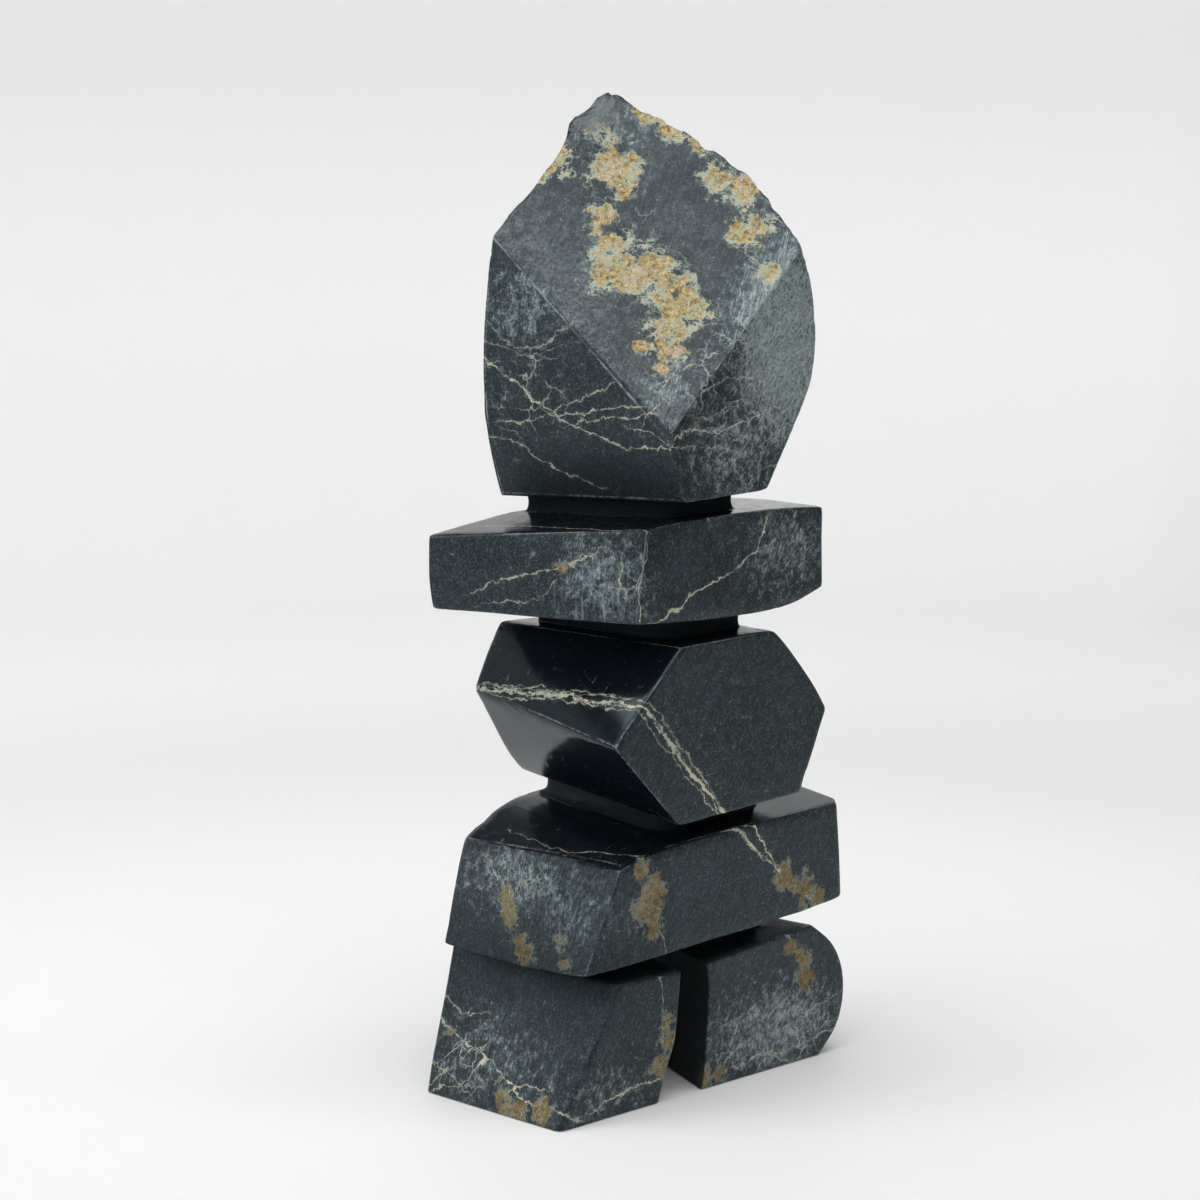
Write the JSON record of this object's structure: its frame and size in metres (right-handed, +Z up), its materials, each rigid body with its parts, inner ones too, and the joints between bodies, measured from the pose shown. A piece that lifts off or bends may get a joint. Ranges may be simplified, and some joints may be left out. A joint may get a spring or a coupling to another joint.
{
  "type": "stone cairn",
  "caption": "Inukshuk cairn figure carved from one block of dark veined serpentine, satin polished with rough natural stone at the head.",
  "frame": {"origin": "centre of the figure's bounding box at the height of the soles of its two legs", "axes": "+Z up, front of the figure towards -Y, +X to the right as seen from the front"},
  "size_m": [0.1416, 0.07, 0.3314],
  "materials": {
    "serpentine": "satin polished, with rough natural patches"
  },
  "bodies": {
    "root": {"cairn_carving": "serpentine"}
  },
  "joints": []
}
